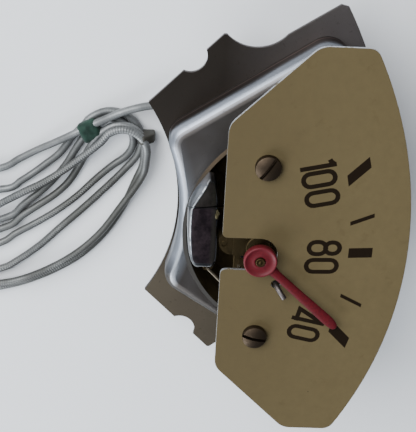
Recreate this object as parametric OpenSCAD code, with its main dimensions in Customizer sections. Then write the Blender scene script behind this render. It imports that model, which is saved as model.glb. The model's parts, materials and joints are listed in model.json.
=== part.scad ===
// Capillary water-temperature gauge: one quadrant of a round four-in-one dashboard instrument.
// It lies on its back. X runs right across the dial, Y up the dial to its arc, Z out of the dial.
// The origin is on the pointer's axis, in the back face that the gauge rests on.

/* [Dial] */
// Radius of the dial's outer arc, about the middle of the round instrument
arc_r = 66; // [60:0.5:70]
// Distance from the middle of the round instrument to the pointer's axis
apex_d = 43.7; // [42:0.1:45]
// Height of the dial's front face above the back face
dial_z = 27.4; // [27:0.1:29]
// Thickness of the dial's sheet
dial_t = 0.6; // [0.4:0.1:0.8]
// Half the width of the dial across its two short edges
dial_half_w = 32.4; // [31:0.1:34]
// How far the straight lower edge lies below the pointer's axis
dial_drop = 5.75; // [5:0.05:6.5]
// Half the width of the slot round the pointer's axis
slot_r = 2.7; // [2.6:0.1:3]

/* [Bracket] */
// Thickness of the bracket's sheet
sheet_t = 0.8; // [0.6:0.1:1]
// Height of the flange's front face
flange_z = 10; // [9:0.1:11]
// Height of the pan's front face
pan_z = 14.6; // [14:0.1:15]
// Radius of the flange's inner, hollow edge
flange_in_r = 31.2; // [30:0.1:31.4]
// Radius of the flange's outer edge
flange_out_r = 65.4; // [64:0.1:66]
// Radius of the clamping notches in the side edges
notch_r = 2.65; // [2.2:0.05:2.8]
// Radius of the large side cut-outs
cutout_r = 6.4; // [5:0.1:7]
// Radius of the bend round the pan's front edge
bend_r = 1.9; // [1.2:0.1:2.2]

/* [Cup] */
// Radius of the round side of the cup and of the hole that it fills
cup_r = 19.75; // [19.2:0.05:19.8]
// Wall thickness of the cup
cup_t = 0.65; // [0.5:0.05:0.7]

/* [Movement] */
// Tooth size of the pinion and the sector (pitch diameter over tooth count)
tooth_m = 0.25; // [0.24:0.005:0.26]
// Number of teeth on the pinion
pinion_n = 12; // [10:1:14]
// Number of teeth that a whole wheel of the sector's radius would have
wheel_n = 60; // [56:1:64]
// Radius of the pointer's arbor
arbor_r = 0.6; // [0.5:0.05:0.65]
// Running clearance of pivots in their bushes
run_gap = 0.05; // [0.03:0.01:0.08]

/* [Bourdon tube] */
// Radius of the outer face of the curved tube
tube_out_r = 17.83; // [17.6:0.01:18]
// Radius of the flatter inner face
tube_in_r = 60; // [50:1:70]
// Thickness of the flattened tube at its middle
tube_t = 3.4; // [3.2:0.1:3.6]
// Height of the flattened tube, along Z
tube_h = 5.4; // [5:0.1:5.6]

/* [Pointer] */
// Length from the axis to the tip
pointer_l = 17.3; // [15:0.1:18]
// Radius of the hub disc
hub_r = 2.5; // [2.2:0.1:2.8]
// Angle of the pointer at rest, on the 40 mark
pointer_deg = 47.3; // [45:0.1:49]

/* [Capillary and bulb] */
// Diameter of the armoured capillary
cap_d = 1.3; // [1:0.1:1.5]
// Radius of the sensing bulb
bulb_r = 4.5; // [4:0.1:5]
// Size across the flats of the union nut
nut_af = 17; // [16:0.5:19]

/* [Hidden] */
$fn = 64;
eps = 0.01;

apex = [0, -apex_d];
cup_c = [2.98, 8.19];
pan_floor = pan_z - sheet_t;
side_x0 = 23.3;
side_slope = 0.67;
pan_out_r = 62.7;
pan_in_r = 31.5;
pan_corner_r = 3.6;
pan_wall_ease = 0.7;

plate_t = 1;
plate_top = pan_z + plate_t;
bridge_z = dial_z - 4;
bridge_t = 1;
bridge_top = bridge_z + bridge_t;
pillar_low = [0, -5.2];
pillar_high = [0, 8];
post_x = 14.4;
post_y = 0.2;
post_r = 1.9;
bridge_end = [-0.2, -3.9];

pinion_r = pinion_n * tooth_m / 2;
wheel_r = wheel_n * tooth_m / 2;
gear_d = pinion_r + wheel_r;
sector_dir = -5;
sector_c = gear_d * [cos(sector_dir), sin(sector_dir)];
pinion_z = 17.2;
pinion_h = 2;
sector_z = 17.8;
sector_t = 0.8;
tail = [12.25, -2.2];
stud_r = 0.8;

tube_c = [0.66, 7.4];
tube_in_c = [-1.5, tube_c.y - tube_out_r + tube_t + tube_in_r];
tube_z = 16;
tube_edge = 0.75;
tube_seam_x = -4.6;
tube_end_x = 6;
root = [-6.2, -7.6];
tube_end = [4.4, -8.4];
tip = [6.9, -7.3];
tongue_z = 18.4;
tongue_t = 0.6;
link_z = 20;
wire_r = 0.25;

inlet_deg = -128.17;
inlet_u = [cos(inlet_deg), sin(inlet_deg)];
inlet_z = 3.2;
ferrule_end = 24.5;
exit_pt = cup_c + ferrule_end * inlet_u;
stem_r = 0.7;
stub_r = 0.5;

hub_z = dial_z + 1.2;
hub_h = 1.5;
arm_z = dial_z + 1.3;

bulb_x = -24;
bulb_z = nut_af / 2;
bulb_tip_y = -118;
bulb_l = 36;
thread_r = 7;
cone_l = 2.5;
neck_r = 2.9;
neck_l = 14.5;
tail_y = bulb_tip_y + bulb_l + cone_l + neck_l;

cap_r = cap_d / 2;
hank_h = 3.2;
tape_c = [-8.7, -27.9];

// The capillary from the ferrule's mouth to the hank, and from the hank to the bulb's neck
lead_route = [
  [exit_pt.x, exit_pt.y, inlet_z], [-13.6, -13.1, 3.3], [-14.6, -15.5, 3.3], [-14.7, -17.9, 3.2],
  [-14.1, -20.6, 2.7], [-13, -22.9, 2.1], [-11.8, -25, 1.9]];
tail_route = [
  [3, -56.3, 1.6], [-3, -56.4, 2.2], [-9, -56.5, 3.6], [-14.5, -56.9, 5.8],
  [-19.4, -58.3, 7.8], [-22.9, -61.2, 8.5], [bulb_x, tail_y, bulb_z]];

// A flat bar with round ends from p to q
module bar(p, q, r) {
  d = q - p;
  translate(p) circle(r = r);
  translate(q) circle(r = r);
  translate(p) rotate(atan2(d.y, d.x)) translate([0, -r]) square([norm(d), 2 * r]);
}

// A point along a smooth curve through the route's points
function on_curve(p, i, t) =
  let (a = p[max(i - 1, 0)], b = p[i], c = p[i + 1], d = p[min(i + 2, len(p) - 1)])
  0.5 * (2 * b + (c - a) * t + (2 * a - 5 * b + 4 * c - d) * t * t
    + (3 * b - a - 3 * c + d) * t * t * t);
function curve(p, n) = concat(
  [for (i = [0 : len(p) - 2]) for (k = [0 : n - 1]) on_curve(p, i, k / n)], [p[len(p) - 1]]);
function unit(v) = v / norm(v);

// A polygon's points with each corner turned into an arc of its own radius
function soft_corner(a, b, c, r) =
  let (u = unit(a - b), v = unit(c - b), half = acos(u * v) / 2, m = b + unit(u + v) * r / sin(half),
    p = b + u * r / tan(half), q = b + v * r / tan(half), from = atan2(p.y - m.y, p.x - m.x),
    turn = (atan2(q.y - m.y, q.x - m.x) - from + 540) % 360 - 180)
  [for (k = [0 : 6]) m + r * [cos(from + turn * k / 6), sin(from + turn * k / 6)]];
function soft(pts, radii) = let (n = len(pts))
  [for (i = [0 : n - 1]) each soft_corner(pts[(i + n - 1) % n], pts[i], pts[(i + 1) % n], radii[i])];

function ring(c, dir, r, n, ref) =
  let (s = unit(cross(dir, ref)), u = cross(s, dir))
  [for (k = [0 : n - 1]) c + r * (cos(360 * k / n) * s + sin(360 * k / n) * u)];

// A round cord swept along a smooth curve through the route's points
module cord(route, r, steps, ref = [0, 0, 1]) {
  n = 8;
  c = curve(route, steps);
  m = len(c);
  rings = [for (i = [0 : m - 1])
    ring(c[i], unit(c[min(i + 1, m - 1)] - c[max(i - 1, 0)]), r, n, ref)];
  sides = [for (i = [0 : m - 2]) for (k = [0 : n - 1]) for (half = [0, 1])
    let (a = i * n + k, b = i * n + (k + 1) % n)
    half == 0 ? [a, a + n, b] : [b, a + n, b + n]];
  caps = [[for (k = [0 : n - 1]) k], [for (k = [n - 1 : -1 : 0]) (m - 1) * n + k]];
  polyhedron([for (q = rings) each q], concat(caps, sides));
}

// Tooth flanks as involutes, thinned a little for backlash
pressure = 25;
function inv_deg(r, base) = let (a = acos(min(1, base / r))) tan(a) * 180 / PI - a;
function flank(n, r) =
  let (pitch = n * tooth_m / 2, base = pitch * cos(pressure), back = 0.035 / pitch * 180 / PI)
  90 / n - back + inv_deg(pitch, base) - inv_deg(max(r, base), base);
function polar(r, a) = [r * cos(a), r * sin(a)];
function tooth(n, a) =
  let (pitch = n * tooth_m / 2, low = pitch - 1.15 * tooth_m, high = pitch + 0.85 * tooth_m,
    radii = [low, pitch - 0.45 * tooth_m, pitch, pitch + 0.45 * tooth_m, high])
  concat([for (r = radii) polar(r, a - flank(n, r))],
    [for (k = [4 : -1 : 0]) polar(radii[k], a + flank(n, radii[k]))]);

// The sector-shaped outline of the pan, drawn in by a margin, with round corners
module pan_plan(in_by) {
  k = in_by * sqrt(1 + side_slope * side_slope);
  ease = pan_corner_r - in_by;
  offset(r = ease) offset(delta = -ease) difference() {
    intersection() {
      translate(apex) circle(r = pan_out_r - in_by, $fn = 180);
      polygon([for (s = [1, -1]) for (y = s > 0 ? [-25, 25] : [25, -25])
        s * [side_x0 - k + side_slope * y, s * y]]);
    }
    translate(apex) circle(r = pan_in_r + in_by, $fn = 96);
  }
}

// The flange: a sector with hollow inner edge, angled sides, cut-outs and notches
module flange_plan() {
  half = [[0, -20], [14.8, -20], [28.6, -6.3], [28.9, 3.5], [33.9, 11.2], [31, 24], [0, 24]];
  difference() {
    intersection() {
      union() for (s = [1, -1]) polygon([for (p = half) [s * p.x, p.y]]);
      translate(apex) circle(r = flange_out_r, $fn = 180);
    }
    translate(apex) circle(r = flange_in_r, $fn = 96);
    for (s = [1, -1]) {
      translate([s * 33.1, -1.3]) circle(r = cutout_r);
      translate([s * 25, -11.35]) circle(r = notch_r);
    }
  }
}

// The hole in the pan: a circle cut off by an arc behind the dial, with eased corners
module cup_plan(in_by) {
  intersection() {
    translate(cup_c) circle(r = cup_r - in_by, $fn = 96);
    translate(apex) circle(r = 60.4 - in_by, $fn = 180);
    translate([1.6, 0.5]) circle(r = 23.4 - in_by, $fn = 96);
  }
}

module bracket() color("#6d655e") difference() {
  union() {
    translate([0, 0, flange_z - sheet_t]) linear_extrude(sheet_t) flange_plan();
    intersection() {
      minkowski() {
        translate([0, 0, flange_z - 2]) linear_extrude(pan_z - flange_z + 2 - bend_r)
          pan_plan(bend_r, $fn = 24);
        rotate_extrude($fn = 24)
          polygon([[0, 0], for (a = [0 : 15 : 90]) bend_r * [cos(a), sin(a)]]);
      }
      translate([-40, -30, flange_z - sheet_t]) cube([80, 60, 10]);
    }
  }
  translate([0, 0, flange_z - sheet_t - 1])
    linear_extrude(pan_floor - pan_wall_ease - flange_z + sheet_t + 1) pan_plan(sheet_t, $fn = 32);
  translate([0, 0, flange_z]) linear_extrude(pan_floor - flange_z)
    pan_plan(sheet_t + pan_wall_ease, $fn = 32);
  translate([0, 0, flange_z - 3]) linear_extrude(12) cup_plan(0);
  for (p = plate_screw_at) translate([p.x, p.y, pan_floor - 1]) cylinder(r = 0.9, h = 3);
}

module rear_cup() color("#8a7444") difference() {
  linear_extrude(pan_z) cup_plan(0);
  translate([0, 0, cup_t]) linear_extrude(pan_z) cup_plan(cup_t);
  translate([cup_c.x, cup_c.y, inlet_z]) rotate([0, 90, inlet_deg])
    translate([0, 0, cup_r - 3]) cylinder(r = 1.6, h = 6);
  socket_rivets_at() translate([0, 0, -1]) cylinder(r = 0.9, h = 3);
}

module movement_plate() color("#a08a4c") translate([0, 0, pan_z]) linear_extrude(plate_t)
  difference() {
    polygon(soft([[-15.6, -3], [-2.4, -3], [-1.7, -6.9], [1.7, -6.9], [2.4, -3], [17, -3], [27.4, 4.6],
      [28, 12], [24, 11.6], [16.5, 4.6], [2.6, 6], [2.4, 10.2], [-2.4, 10.2], [-2.6, 6],
      [-14.5, 5.6], [-18, 12.2], [-22.2, 11.6], [-21.6, 4.4]],
      [3, 0.6, 1.5, 1.5, 0.6, 2, 2, 1.8, 1.8, 2, 1, 2, 2, 1, 2, 1.8, 2, 2]));
    circle(r = 1.3);
    translate(sector_c) circle(r = stud_r);
    for (p = plate_screw_at) translate(p) circle(r = 0.9);
  }

plate_screw_at = [[-19.4, 6.6], [-19.9, 9.8], [24.9, 6.2], [26.2, 9.9]];

// A slotted cheese-head screw whose head sits on z = 0
module cheese_screw(head_r, head_h, shank_r, shank_l, slot_deg) {
  difference() {
    cylinder(r = head_r, h = head_h);
    rotate(slot_deg) translate([-head_r - 1, -head_r * 0.13, head_h * 0.5])
      cube([2 * head_r + 2, head_r * 0.26, head_h]);
  }
  translate([0, 0, -shank_l]) cylinder(r = shank_r, h = shank_l + eps);
}

module plate_screws() color("#9a9590")
  for (i = [0 : 3]) translate([plate_screw_at[i].x, plate_screw_at[i].y, plate_top])
    cheese_screw(1.3, 0.9, 0.9, plate_t + sheet_t, 35 + 50 * i);

module lower_bush() color("#b59a4e") difference() {
  union() {
    translate([0, 0, pan_z - 0.6]) cylinder(r = 1.3, h = 1.6);
    translate([0, 0, plate_top]) cylinder(r = 1.7, h = 0.5);
  }
  translate([0, 0, pan_z - 1]) cylinder(r = arbor_r + run_gap, h = 4);
}

module bridge() color("#8d7540") difference() {
  translate([0, 0, bridge_z]) linear_extrude(bridge_t) {
    bar(bridge_end, [0, 0], 2.1);
    bar([0, 0], pillar_high, 2.4);
  }
  translate([-3, -8, bridge_top - 0.2]) cube([6, 4.2, 1]);
  translate([0, 0, bridge_z - 1]) cylinder(r = 1.2, h = 3);
  translate([pillar_low.x, pillar_low.y, bridge_z - 1]) cylinder(r = 0.5, h = 3);
  translate([pillar_high.x, pillar_high.y, bridge_z - 1]) cylinder(r = 0.9, h = 3);
}

module bridge_pillars() color("#a8904c") {
  translate([pillar_low.x, pillar_low.y, plate_top]) cylinder(r = 0.8, h = bridge_z - plate_top);
  translate([pillar_low.x, pillar_low.y, bridge_z]) cylinder(r = 0.5, h = 0.75);
  translate([pillar_high.x, pillar_high.y, plate_top]) difference() {
    cylinder(r = 1.6, h = bridge_z - plate_top);
    translate([0, 0, 4]) cylinder(r = 0.9, h = 10);
  }
}

module bridge_screw() color("#9a9590") translate([pillar_high.x, pillar_high.y, bridge_top])
  cheese_screw(1.6, 1.1, 0.9, 3, 20);

module upper_bush() color("#c0a04e") difference() {
  union() {
    translate([0, 0, bridge_z - 0.3]) cylinder(r = 1.2, h = 1.5);
    translate([0, 0, bridge_top]) cylinder(r = 1.95, h = 1);
  }
  translate([0, 0, bridge_z - 1]) cylinder(r = arbor_r + run_gap, h = 4);
}

module arbor() color("#b0b0b4") {
  translate([0, 0, pan_z - 0.5]) cylinder(r = arbor_r, h = hub_z + hub_h - pan_z + 0.3);
  translate([0, 0, plate_top + 0.6]) cylinder(r = 0.95, h = pinion_z - plate_top - 0.6);
}

module pinion() color("#c8a850") translate([0, 0, pinion_z]) linear_extrude(pinion_h)
  difference() {
    union() {
      circle(r = pinion_r - 1.1 * tooth_m);
      for (k = [0 : pinion_n - 1])
        polygon(tooth(pinion_n, sector_dir + 180 / pinion_n + 360 * k / pinion_n));
    }
    circle(r = arbor_r);
  }

module hairspring_collet() color("#c0a04e") translate([0, 0, 21.4]) difference() {
  cylinder(r = 1.2, h = 1.4);
  translate([0, 0, -1]) cylinder(r = arbor_r, h = 4);
}

// A flat spiral ribbon from the collet out to the stud
spring_turns = 4;
spring_steps = 20;
function spiral(side) = [for (k = [0 : spring_turns * spring_steps])
  let (t = k / (spring_turns * spring_steps), a = 90 + 360 * spring_turns * t)
  polar(1.3 + 2.9 * t + side * 0.05, a)];
module hairspring() color("#5b6a8c") translate([0, 0, 21.9]) linear_extrude(0.45)
  polygon(concat(spiral(1), [for (k = [spring_turns * spring_steps : -1 : 0]) spiral(-1)[k]]));

module hairspring_stud() color("#b59a4e") difference() {
  translate([-0.45, 3.75, 21.6]) cube([0.9, 0.9, bridge_z - 21.6]);
  translate([-1, 4.12, 21.85]) cube([2, 0.16, 0.55]);
}

module sector() color("#c2a24c") translate([0, 0, sector_z]) linear_extrude(sector_t)
  difference() {
    union() {
      translate(sector_c) {
        intersection() {
          difference() {
            circle(r = wheel_r - 1.1 * tooth_m);
            circle(r = wheel_r - 1.6);
          }
          polygon([[0, 0], polar(12, 166), polar(12, 184), polar(12, 202)]);
        }
        for (k = [-1 : 4]) polygon(tooth(wheel_n, 180 + sector_dir + 6 * k));
        bar([0, 0], polar(wheel_r - 1, 172), 0.6);
        bar([0, 0], polar(wheel_r - 1, 197), 0.6);
        circle(r = 1.7);
      }
      bar(sector_c, tail, 0.75);
    }
    translate(sector_c) circle(r = stud_r + run_gap);
    translate(tail) circle(r = wire_r + run_gap);
  }

module sector_stud() color("#b0b0b4") translate([sector_c.x, sector_c.y, pan_z]) {
  cylinder(r = stud_r, h = sector_z + sector_t + 0.7 - pan_z);
  translate([0, 0, plate_t]) cylinder(r = 1.5, h = sector_z - plate_top - 0.1);
}

module sector_washer() color("#8c8c90") translate([sector_c.x, sector_c.y, 0]) difference() {
  translate([0, 0, sector_z + sector_t + 0.1]) cylinder(r = 1.5, h = 0.35);
  translate([0, 0, 10]) cylinder(r = stud_r, h = 20);
}

// The wire link: a straight run with both ends turned down through the two eyes
module link() color("#c9ccd0") {
  d = tip - tail;
  translate([tail.x, tail.y, link_z]) rotate([0, 90, atan2(d.y, d.x)])
    cylinder(r = wire_r, h = norm(d), $fn = 24);
  translate([tail.x, tail.y, sector_z - 0.5]) cylinder(r = wire_r, h = link_z - sector_z + 0.7);
  translate([tip.x, tip.y, tongue_z - 0.5]) cylinder(r = wire_r, h = link_z - tongue_z + 0.7);
}

// The flattened tube in plan: a round outer face, a flatter inner one, and a squared free end
module tube_plan() offset(r = 0.3, $fn = 24) offset(delta = -0.3) offset(delta = -tube_edge)
  difference() {
    intersection() {
      translate(tube_c) circle(r = tube_out_r, $fn = 180);
      translate([-20, -20]) square([20 + tube_end_x, 20]);
    }
    translate(tube_in_c) circle(r = tube_in_r, $fn = 360);
  }

module tube_body() translate([0, 0, tube_z + tube_edge]) minkowski() {
  linear_extrude(tube_h - 2 * tube_edge) tube_plan();
  rotate_extrude($fn = 16)
    polygon([for (a = [-90 : 30 : 90]) tube_edge * [cos(a), sin(a)]]);
}

module bourdon_tube() color("#8f979c") intersection() {
  tube_body();
  translate([tube_seam_x, -20, 10]) cube(20);
}

// The brazed end piece of the tube, with the boss that turns on the stem
module tube_cap() color("#9aa0a2") difference() {
  union() {
    intersection() {
      tube_body();
      translate([tube_seam_x - 20, -20, 10]) cube(20);
    }
    translate([root.x, root.y, tube_z]) cylinder(r = 1.1, h = 1.5);
  }
  translate([root.x, root.y, tube_z - 1]) cylinder(r = stub_r + run_gap, h = 4);
}

module tip_tongue() color("#b59a4e") difference() {
  translate([0, 0, tongue_z]) linear_extrude(tongue_t) difference() {
    bar(tube_end, tip, 0.9);
    translate(tip) circle(r = wire_r + 0.2);
  }
  tube_body();
}

module root_stem() color("#b59a4e") {
  translate([root.x, root.y, 5.2]) cylinder(r = stem_r, h = tube_z - 5.25);
  translate([root.x, root.y, tube_z - 0.1]) cylinder(r = stub_r, h = 2.8);
}

module at_inlet_line() translate(cup_c) rotate(inlet_deg) children();

module socket_block() color("#a58f52") difference() {
  at_inlet_line() translate([13.5, -2.8, cup_t]) cube([5.2, 6.1, 5.2 - cup_t]);
  socket_rivets_at() translate([0, 0, -1]) cylinder(r = 0.9, h = 4.5);
}

module socket_rivets_at() for (s = [-1, 1]) at_inlet_line() translate([15.2, 1.7 * s, 0])
  children();

module socket_rivets() color("#b59a4e") socket_rivets_at() cylinder(r = 0.9, h = 3.5);

module inlet_ferrule() color("#9aa0a2") translate([cup_c.x, cup_c.y, inlet_z])
  rotate([0, 90, inlet_deg]) rotate_extrude($fn = 48)
    polygon([[0, 18.7], [1.6, 18.7], [1.6, 20.4], [2.1, 20.4], [2.1, 21.4], [1.5, 21.8],
      [0.9, ferrule_end], [0, ferrule_end]]);

module dial_plan() difference() {
  offset(r = slot_corner_r, $fn = 32) offset(delta = -slot_corner_r) difference() {
    offset(r = 2, $fn = 48) offset(delta = -2) intersection() {
      translate(apex) circle(r = arc_r, $fn = 240);
      offset(r = 3, $fn = 48) offset(delta = -3)
        union() for (s = [1, -1]) polygon([for (p = dial_half) [s * p.x, p.y]]);
    }
    circle(r = slot_r);
    translate([-slot_r, -20]) square([2 * slot_r, 20]);
  }
  for (s = [-1, 1]) translate([s * post_x, post_y]) circle(r = 1);
  translate(pin_at) circle(r = 0.7);
}
slot_corner_r = 0.8;
dial_half = [[0, -dial_drop], [dial_half_w - 11.85, -dial_drop], [dial_half_w, 11.85 - dial_drop],
  [dial_half_w, 30], [0, 30]];
pin_at = [5, 2.85];

module dial_plate() color("#b5a67c") translate([0, 0, dial_z - dial_t])
  linear_extrude(dial_t) dial_plan();

module dial_posts() color("#a8904c") for (s = [-1, 1])
  translate([s * post_x, post_y, plate_top]) difference() {
    cylinder(r = post_r, h = dial_z - dial_t - plate_top);
    translate([0, 0, 5]) cylinder(r = 0.9, h = 10);
  }

module dial_screws() color("#6e5f45") for (s = [-1, 1])
  translate([s * post_x, post_y, dial_z])
    cheese_screw(1.9, 1.3, 0.9, 5, s < 0 ? 146.8 : 77.6);

// The pointer's arm: a roof-shaped bar that widens towards a blunt tip
module pointer() color("#c0202c") {
  difference() {
    translate([0, 0, hub_z]) cylinder(r = hub_r, h = hub_h);
    translate([0, 0, hub_z + hub_h - 0.35]) cylinder(r1 = 0.9, r2 = 1.9, h = 0.36);
    translate([0, 0, hub_z - 1]) cylinder(r = 1, h = 4);
  }
  rotate(pointer_deg) difference() {
    hull() {
      translate([1.6, 0, arm_z]) linear_extrude(0.3) polygon([[0, -0.65], [0, 0.65],
        [14.3, 0.95], [pointer_l - 1.6, 0.2], [13.9, -0.95]]);
      translate([1.6, -0.1, arm_z]) cube([14, 0.2, 0.75]);
    }
    cylinder(r = 2.2, h = 60);
  }
}

module pointer_bush() color("#7a6334") difference() {
  translate([0, 0, hub_z - 0.4]) cylinder(r = 1, h = hub_h + 0.1);
  translate([0, 0, hub_z - 2]) cylinder(r = arbor_r, h = 6);
}

// A bent steel pin that stands through the dial and stops the pointer below the 40 mark
module stop_pin() color("#8e8478") cord([[pin_at.x, pin_at.y, plate_top],
  [pin_at.x, pin_at.y, dial_z - 2], [pin_at.x, pin_at.y, dial_z - 0.3],
  [pin_at.x + 0.35, pin_at.y + 0.3, dial_z + 0.8], [pin_at.x + 1.65, pin_at.y + 1.35, dial_z + 1.6]],
  0.43, 4, [-0.63, 0.77, 0]);

module capillary_lead() color("#aab0ae") cord(lead_route, cap_r, 3);

module capillary_tail() color("#aab0ae") cord(tail_route, cap_r, 4);

module hank_plan() polygon(soft([[-13.3, -17.2], [-2.6, -17.2], [15.2, -25], [24.6, -41.4],
  [28.2, -72], [28.2, -115.2], [-0.4, -115.2], [-0.9, -54], [-13.3, -27.4]],
  [5.8, 4, 5, 10, 20, 13, 13, 8, 6]));

module tape_outline(grow) translate(tape_c) rotate(30) square([4.4 + grow, 3.2 + grow],
  center = true);

module capillary_hank() color("#b4bab8") difference() {
  linear_extrude(hank_h) hank_plan();
  translate([0, 0, -1]) linear_extrude(hank_h + 2) tape_outline(0);
}

module tape_band() color("#2f6b57") linear_extrude(hank_h + 0.9) tape_outline(0);

module hank_clip() color("#2c2f31") difference() {
  translate([-9.2, -19, 0]) cube([2.2, 2.6, hank_h + 0.5]);
  linear_extrude(hank_h) hank_plan();
}

// Solids on the bulb's own axis, measured from its tip back along the capillary
module bulb_line(back) translate([bulb_x, bulb_tip_y + back, bulb_z]) rotate([-90, 0, 0])
  children();

module sensing_bulb() color("#9c8a5c") {
  bulb_line(0) rotate_extrude() polygon([[0, 0], [bulb_r - 1.4, 0], [bulb_r, 1.2],
    [bulb_r, bulb_l], [0, bulb_l]]);
  bulb_line(bulb_l) cylinder(r = neck_r, h = cone_l + neck_l);
}

module bulb_cone() color("#b39b58") bulb_line(bulb_l) difference() {
  cylinder(r1 = bulb_r, r2 = bulb_r + 0.6, h = cone_l);
  translate([0, 0, -1]) cylinder(r = neck_r, h = cone_l + 2);
}

module union_nut() color("#8a8d90") difference() {
  union() {
    bulb_line(bulb_l + cone_l + 0.1) cylinder(r = thread_r, h = 7.5);
    bulb_line(bulb_l + cone_l + 7.5) cylinder(r = nut_af / sqrt(3), h = 5.5, $fn = 6);
  }
  bulb_line(bulb_l) cylinder(r = neck_r + run_gap, h = 30);
}

bracket();
rear_cup();
movement_plate();
plate_screws();
lower_bush();
bridge();
bridge_pillars();
bridge_screw();
upper_bush();
arbor();
pinion();
hairspring_collet();
hairspring();
hairspring_stud();
sector();
sector_stud();
sector_washer();
link();
bourdon_tube();
tube_cap();
tip_tongue();
root_stem();
socket_block();
socket_rivets();
inlet_ferrule();
dial_plate();
dial_posts();
dial_screws();
pointer();
pointer_bush();
stop_pin();
capillary_lead();
capillary_hank();
tape_band();
hank_clip();
capillary_tail();
sensing_bulb();
bulb_cone();
union_nut();
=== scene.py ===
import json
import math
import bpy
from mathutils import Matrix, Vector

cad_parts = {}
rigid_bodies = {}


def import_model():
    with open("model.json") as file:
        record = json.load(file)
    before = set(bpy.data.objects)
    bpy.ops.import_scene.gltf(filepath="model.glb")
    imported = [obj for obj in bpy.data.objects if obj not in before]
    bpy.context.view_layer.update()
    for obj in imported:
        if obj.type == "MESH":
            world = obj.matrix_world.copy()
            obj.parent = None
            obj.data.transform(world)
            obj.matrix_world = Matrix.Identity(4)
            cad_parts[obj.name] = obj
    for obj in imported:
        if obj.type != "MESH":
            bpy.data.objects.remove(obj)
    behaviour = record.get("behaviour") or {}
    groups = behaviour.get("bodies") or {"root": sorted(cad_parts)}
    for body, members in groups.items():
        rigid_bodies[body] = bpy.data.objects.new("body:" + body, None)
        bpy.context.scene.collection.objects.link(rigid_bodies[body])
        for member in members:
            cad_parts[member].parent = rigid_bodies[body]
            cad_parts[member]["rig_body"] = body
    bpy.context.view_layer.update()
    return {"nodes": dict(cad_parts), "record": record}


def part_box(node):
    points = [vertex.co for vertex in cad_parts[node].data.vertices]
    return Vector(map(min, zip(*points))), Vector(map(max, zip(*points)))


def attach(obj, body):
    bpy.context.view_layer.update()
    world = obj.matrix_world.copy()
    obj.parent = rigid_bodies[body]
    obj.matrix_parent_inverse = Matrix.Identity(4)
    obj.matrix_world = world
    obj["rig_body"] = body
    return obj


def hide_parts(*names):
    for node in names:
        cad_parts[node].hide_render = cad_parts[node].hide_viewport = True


bl_info = {
    "name": "Capillary temperature gauge",
    "version": (1, 0),
    "blender": (4, 5, 0),
    "location": "3D View > Sidebar > Gauge",
    "description": "Dresses the solids of a capillary temperature gauge for a studio picture",
    "category": "Object",
}

import bmesh
import bpy
from mathutils import Matrix, Vector

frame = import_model()
NODES = frame["nodes"]

MM = 0.001


def mm(*values):
    """Millimetres to metres, as a vector."""
    return Vector([v * MM for v in values])


def corner(node, which):
    """A CAD node's lowest (0) or highest (1) corner at rest, in millimetres."""
    return [round(value / MM, 2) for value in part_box(node)[which]]


# Heights of the dial's face, the pan's roof and the flange's face, and where the tube meets its end
DIAL_Z = corner("dial_plate", 1)[2]
PAN_Z = corner("bracket", 1)[2]
SHEET_T = 0.8
FLANGE_Z = corner("bracket", 0)[2] + SHEET_T
SEAM_X = corner("bourdon_tube", 0)[0]
# Middle of the round instrument that this gauge is a quadrant of
APEX = (0, -43.7)


def colour_property(name, description, default):
    return bpy.props.FloatVectorProperty(name=name, description=description, default=default,
                                         subtype="COLOR", size=3)


def length_property(name, description, default):
    return bpy.props.FloatProperty(name=name, description=description, default=default, unit="LENGTH")


# Sizes and colours that a user would change

class GaugeDialLook(bpy.types.PropertyGroup):
    """The dial's paint and print"""
    cream: colour_property("Cream", "Colour of the dial's paint", (0.093, 0.070, 0.033))
    ink: colour_property("Ink", "Colour of the printed scale", (0.010, 0.006, 0.003))
    stroke: length_property("Stroke", "Line width of the numerals", 0.00068)
    numeral_height: length_property("Numeral height", "Height of the numerals", 0.0053)


class GaugeMetalLook(bpy.types.PropertyGroup):
    """The metals of the bracket and the movement"""
    steel: colour_property("Plated steel", "Colour of the bracket's plating", (0.115, 0.105, 0.098))
    brass: colour_property("Brass", "Colour of the movement's brass", (0.085, 0.062, 0.030))
    tube: colour_property("Tube", "Colour of the Bourdon tube", (0.19, 0.20, 0.22))
    red: colour_property("Pointer red", "Colour of the pointer's paint", (0.088, 0.0050, 0.0085))


class GaugeCapillaryLook(bpy.types.PropertyGroup):
    """The capillary's size and finish"""
    diameter: length_property("Diameter", "Outside diameter of the armour", 0.0013)
    armour: colour_property("Armour", "Colour of the wire armour", (0.155, 0.158, 0.155))
    tape: colour_property("Tape", "Colour of the binding tape", (0.012, 0.032, 0.022))


# Materials

# Names of the numbers that meshes store for their materials, and the pitch of the armour's ribs
FRONT_MARK, RUN_MARK = "front", "run"
RIB_PITCH = 0.45


class Link:
    """One output socket of a material, usable in sums and products."""

    def __init__(self, paint, socket):
        self.paint, self.socket = paint, socket

    def _math(self, operation, a, b=0.5):
        node = self.paint.node("ShaderNodeMath", dict(operation=operation), {0: a, 1: b})
        return Link(self.paint, node.outputs[0])

    def __add__(self, other):
        return self._math("ADD", self, other)

    def __sub__(self, other):
        return self._math("SUBTRACT", self, other)

    def __mul__(self, other):
        return self._math("MULTIPLY", self, other)

    def __rsub__(self, other):
        return self._math("SUBTRACT", other, self)

    __radd__ = __add__
    __rmul__ = __mul__

    def over(self, level):
        return self._math("GREATER_THAN", self, level)

    def wave(self):
        return self._math("SINE", self)

    def largest(self, other):
        return self._math("MAXIMUM", self, other)

    def ramp(self, low, high, at_low=0, at_high=1):
        """This value taken linearly from one range to another, held at both ends."""
        node = self.paint.node("ShaderNodeMapRange", dict(clamp=True), {
            "Value": self, "From Min": low, "From Max": high, "To Min": at_low, "To Max": at_high})
        return Link(self.paint, node.outputs[0])


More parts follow.
